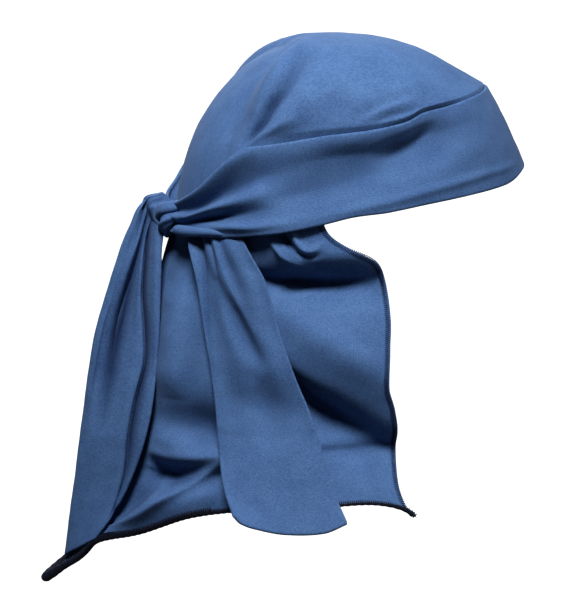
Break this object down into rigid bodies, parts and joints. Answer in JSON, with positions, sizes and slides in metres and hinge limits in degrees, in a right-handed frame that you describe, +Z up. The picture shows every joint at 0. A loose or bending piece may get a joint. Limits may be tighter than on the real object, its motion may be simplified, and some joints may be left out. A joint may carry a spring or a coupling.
{
  "type": "bandana cap",
  "caption": "Soft jersey bandana cap: rounded crown, wide folded headband knotted at the nape, long neck flap and hanging ties.",
  "frame": {"origin": "middle of the head opening, where the cap sits on the head", "axes": "+X to the forehead, +Y to the wearer's left, +Z up through the crown"},
  "size_m": [0.301, 0.2014, 0.3339],
  "materials": {
    "crown": "matte knitted jersey",
    "headband": "matte knitted jersey",
    "neck_flap": "matte knitted jersey",
    "near_tie": "matte knitted jersey",
    "back_tie": "matte knitted jersey",
    "knot_core": "matte knitted jersey",
    "knot_wrap": "matte knitted jersey"
  },
  "bodies": {
    "root": {"crown": "crown", "headband": "headband", "neck_flap": "neck_flap", "near_tie": "near_tie", "back_tie": "back_tie", "knot_core": "knot_core", "knot_wrap": "knot_wrap"}
  },
  "joints": []
}
